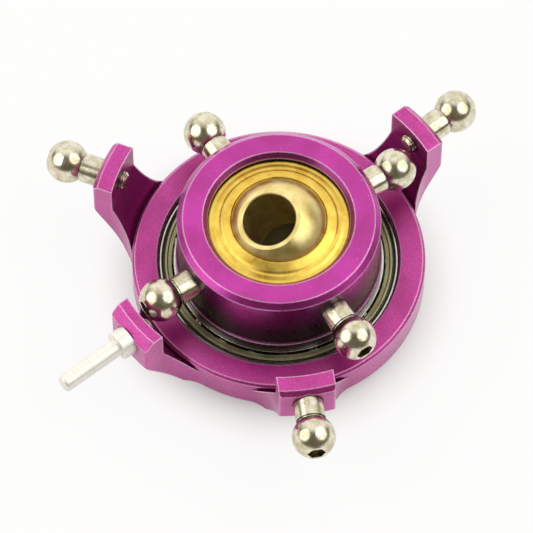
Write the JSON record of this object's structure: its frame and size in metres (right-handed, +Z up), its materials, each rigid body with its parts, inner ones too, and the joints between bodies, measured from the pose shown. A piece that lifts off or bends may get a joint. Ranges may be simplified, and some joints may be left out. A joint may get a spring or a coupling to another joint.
{
  "type": "helicopter swashplate",
  "caption": "Model helicopter swashplate: three-armed outer ring with a guide pin, ball bearing, rotating hub with link balls, and a bored pivot ball for the main shaft.",
  "frame": {"origin": "centre of the pivot ball, in the common plane of all link balls", "axes": "+Z up along the axis of the swashplate, towards the rotor; -Y along the anti-rotation pin; +X to the right seen from the pin's side opposite, completing a right-handed frame"},
  "size_m": [0.049, 0.0578, 0.0169],
  "materials": {
    "ring_anodised": "satin magenta anodising",
    "hub_anodised": "satin magenta anodising",
    "race_brass": "turned",
    "ball_brass": "burnished",
    "bearing_steel": "ground",
    "cage_steel": "pressed",
    "shield_steel": "pressed, lightly oiled",
    "spring_steel": "blackened",
    "stud_nickel": "polished nickel",
    "pin_steel": "polished"
  },
  "bodies": {
    "outer_ring": {"outer_ring": "ring_anodised", "bearing_outer_race": "bearing_steel", "upper_shield": "shield_steel", "lower_shield": "shield_steel", "upper_snap_ring": "spring_steel", "lower_snap_ring": "spring_steel", "ring_link_ball_1": "stud_nickel", "ring_link_ball_2": "stud_nickel", "ring_link_ball_3": "stud_nickel", "anti_rotation_pin": "pin_steel"},
    "hub": {"hub": "hub_anodised", "upper_race": "race_brass", "lower_race": "race_brass", "race_retaining_ring": "spring_steel", "bearing_retaining_ring": "spring_steel", "bearing_inner_race": "bearing_steel", "hub_link_ball_1": "stud_nickel", "hub_link_ball_2": "stud_nickel", "hub_link_ball_3": "stud_nickel", "hub_link_ball_4": "stud_nickel"},
    "ball_set": {"bearing_cage": "cage_steel", "bearing_balls": "bearing_steel"},
    "pivot_ball": {"pivot_ball": "ball_brass"}
  },
  "joints": [
    {"name": "hub_spin", "type": "hinge", "parent": "outer_ring", "child": "hub", "pos_m": [0, 0, 0], "axis": [0, 0, 1], "continuous": true},
    {"name": "ball_set_spin", "type": "hinge", "parent": "outer_ring", "child": "ball_set", "pos_m": [0, 0, 0], "axis": [0, 0, 1], "continuous": true},
    {"name": "pivot_tilt", "type": "hinge", "parent": "hub", "child": "pivot_ball", "pos_m": [0, 0, 0], "axis": [1, 0, 0], "range_deg": [-35.8, 4.2]}
  ],
  "couplings": [
    {"joint": "ball_set_spin", "follows": "hub_spin", "ratio": 0.4676}
  ]
}
